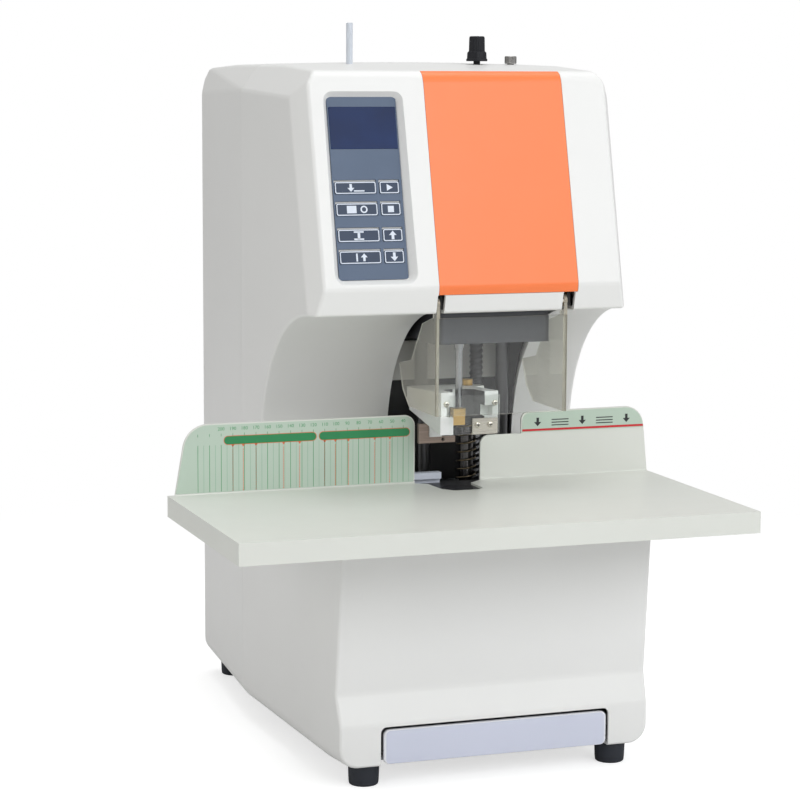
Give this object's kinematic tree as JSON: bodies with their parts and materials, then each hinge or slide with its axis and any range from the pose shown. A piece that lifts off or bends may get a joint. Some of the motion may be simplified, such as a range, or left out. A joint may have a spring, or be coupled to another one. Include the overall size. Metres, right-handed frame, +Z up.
{
  "type": "document riveting machine",
  "caption": "Desk machine that drills a stack of papers and rivets it with a nylon tube, with a steel work table, folding clear guard, keypad and chip drawer.",
  "frame": {"origin": "on the desk, under the middle of the machine's outline", "axes": "+Z up, the operator stands at -Y, +X to the operator's right"},
  "size_m": [0.434, 0.524, 0.617],
  "materials": {
    "shell_white": "satin moulded white plastic",
    "face_orange": "satin orange",
    "panel_blue": "satin blue-grey membrane",
    "display": "dark blue window",
    "key_blue": "dark blue keys with pale frames",
    "circuit_board": "green laminate",
    "clear_acrylic": "polished clear acrylic",
    "black_plastic": "black moulded plastic",
    "table_paint": "warm white baked paint on sheet steel",
    "mint_label": "pale green printed film",
    "throat_steel": "black paint on steel",
    "pad_plastic": "dark hard plastic",
    "white_plastic": "white plastic",
    "foot_rubber": "black rubber",
    "drawer_white": "white baked paint",
    "lavender_label": "pale lavender printed film",
    "zinc_plate": "zinc-plated sheet",
    "cast_grey": "machined cast iron",
    "polished_steel": "ground and polished",
    "dark_steel": "blackened steel",
    "motor_steel": "black painted motor can",
    "belt_rubber": "black belt",
    "brass": "turned brass",
    "foot_white": "white painted casting",
    "nickel": "nickel plated",
    "link_steel": "plain rolled steel",
    "spring_steel": "dark spring wire",
    "nylon": "milky nylon",
    "liner_black": "black paint on sheet",
    "grey_paint": "grey paint on sheet"
  },
  "bodies": {
    "root": {"front_shell": "shell_white", "rear_cover": "shell_white", "face_plate": "face_orange", "control_panel": "panel_blue", "display_window": "display", "panel_board": "circuit_board", "guard_hinges": "black_plastic", "work_table": "table_paint", "scale_label": "mint_label", "limit_label": "mint_label", "throat_plate": "throat_steel", "cutting_pad": "pad_plastic", "paper_stop": "white_plastic", "base_plate": "zinc_plate", "frame_plate": "zinc_plate", "base_arm": "cast_grey", "guide_columns": "polished_steel", "lift_motor": "motor_steel", "spring_post": "dark_steel", "post_cap": "brass", "return_spring": "spring_steel", "knob_potentiometer": "black_plastic", "mains_inlet": "black_plastic", "power_supply": "zinc_plate", "control_board": "circuit_board", "inner_liner": "liner_black", "back_sheet": "grey_paint", "foot_front_left": "foot_rubber", "foot_front_right": "foot_rubber", "foot_rear_left": "foot_rubber", "foot_rear_right": "foot_rubber"},
    "carriage": {"carriage": "dark_steel", "rivet_punch": "brass", "drill_motor": "motor_steel", "drive_belt": "belt_rubber"},
    "drill_spindle": {"spindle": "dark_steel", "hollow_drill": "polished_steel"},
    "motor_drive": {"motor_pulley": "polished_steel"},
    "lift_screw": {"lead_screw": "polished_steel"},
    "presser": {"presser_foot": "foot_white", "presser_shield": "clear_acrylic", "tube_block": "brass", "foot_bracket": "nickel", "link_bar": "link_steel", "presser_screws": "nickel"},
    "guard": {"guard_shield": "clear_acrylic"},
    "drawer": {"chip_drawer": "drawer_white", "drawer_label": "lavender_label"},
    "depth_knob": {"setting_knob": "black_plastic"},
    "cap": {"adjusting_cap": "nickel"},
    "tube_stock": {"nylon_tube": "nylon"},
    "rocker": {"power_switch": "black_plastic"},
    "key_wide_1_cap": {"key_wide_1": "key_blue"},
    "key_small_1_cap": {"key_small_1": "key_blue"},
    "key_wide_2_cap": {"key_wide_2": "key_blue"},
    "key_small_2_cap": {"key_small_2": "key_blue"},
    "key_wide_3_cap": {"key_wide_3": "key_blue"},
    "key_small_3_cap": {"key_small_3": "key_blue"},
    "key_wide_4_cap": {"key_wide_4": "key_blue"},
    "key_small_4_cap": {"key_small_4": "key_blue"}
  },
  "joints": [
    {"name": "carriage_slide", "type": "slide", "parent": "root", "child": "carriage", "axis": [0, 0, -1], "range_m": [0, 0.059]},
    {"name": "lift_screw_turn", "type": "hinge", "parent": "root", "child": "lift_screw", "pos_m": [0.078, 0.015, 0.35], "axis": [0, 0, 1], "range_deg": [0, 2130]},
    {"name": "presser_slide", "type": "slide", "parent": "root", "child": "presser", "axis": [0, 0, -1], "range_m": [0, 0.0341], "deforming": ["return_spring"]},
    {"name": "drill_spin", "type": "hinge", "parent": "carriage", "child": "drill_spindle", "pos_m": [0.0285, -0.073, 0.4], "axis": [0, 0, 1], "continuous": true},
    {"name": "motor_spin", "type": "hinge", "parent": "carriage", "child": "motor_drive", "pos_m": [0.0285, -0.025, 0.46], "axis": [0, 0, 1], "continuous": true},
    {"name": "guard_swing", "type": "hinge", "parent": "root", "child": "guard", "pos_m": [0.0549, -0.101, 0.386], "axis": [-1, 0, 0], "range_deg": [0, 85]},
    {"name": "drawer_slide", "type": "slide", "parent": "root", "child": "drawer", "axis": [0, -1, 0], "range_m": [0, 0.115]},
    {"name": "depth_knob_turn", "type": "hinge", "parent": "root", "child": "depth_knob", "pos_m": [0.0875, 0.043, 0.59], "axis": [0, 0, 1], "range_deg": [0, 300]},
    {"name": "cap_turn", "type": "hinge", "parent": "root", "child": "cap", "pos_m": [0.1195, 0.043, 0.585], "axis": [0, 0, 1], "range_deg": [-360, 360]},
    {"name": "tube_slide", "type": "slide", "parent": "root", "child": "tube_stock", "axis": [0, 0, -1], "range_m": [0, 0.03]},
    {"name": "rocker_tilt", "type": "hinge", "parent": "root", "child": "rocker", "pos_m": [0.0825, 0.254, 0.095], "axis": [1, 0, 0], "range_deg": [0, 14]},
    {"name": "key_wide_1_press", "type": "slide", "parent": "root", "child": "key_wide_1_cap", "axis": [0, 0.9718, -0.236], "range_m": [0, 0.0005], "stiffness_N_per_m": 2000, "springref_m": -0.0002},
    {"name": "key_small_1_press", "type": "slide", "parent": "root", "child": "key_small_1_cap", "axis": [0, 0.9718, -0.236], "range_m": [0, 0.0005], "stiffness_N_per_m": 2000, "springref_m": -0.0002},
    {"name": "key_wide_2_press", "type": "slide", "parent": "root", "child": "key_wide_2_cap", "axis": [0, 0.9718, -0.236], "range_m": [0, 0.0005], "stiffness_N_per_m": 2000, "springref_m": -0.0002},
    {"name": "key_small_2_press", "type": "slide", "parent": "root", "child": "key_small_2_cap", "axis": [0, 0.9718, -0.236], "range_m": [0, 0.0005], "stiffness_N_per_m": 2000, "springref_m": -0.0002},
    {"name": "key_wide_3_press", "type": "slide", "parent": "root", "child": "key_wide_3_cap", "axis": [0, 0.9718, -0.236], "range_m": [0, 0.0005], "stiffness_N_per_m": 2000, "springref_m": -0.0002},
    {"name": "key_small_3_press", "type": "slide", "parent": "root", "child": "key_small_3_cap", "axis": [0, 0.9718, -0.236], "range_m": [0, 0.0005], "stiffness_N_per_m": 2000, "springref_m": -0.0002},
    {"name": "key_wide_4_press", "type": "slide", "parent": "root", "child": "key_wide_4_cap", "axis": [0, 0.9718, -0.236], "range_m": [0, 0.0005], "stiffness_N_per_m": 2000, "springref_m": -0.0002},
    {"name": "key_small_4_press", "type": "slide", "parent": "root", "child": "key_small_4_cap", "axis": [0, 0.9718, -0.236], "range_m": [0, 0.0005], "stiffness_N_per_m": 2000, "springref_m": -0.0002}
  ],
  "couplings": [
    {"joint": "lift_screw_turn", "follows": "carriage_slide", "rad_per_m": 628.32},
    {"joint": "presser_slide", "follows": "carriage_slide", "ratio": 0.57627},
    {"joint": "motor_spin", "follows": "drill_spin", "ratio": 1}
  ]
}
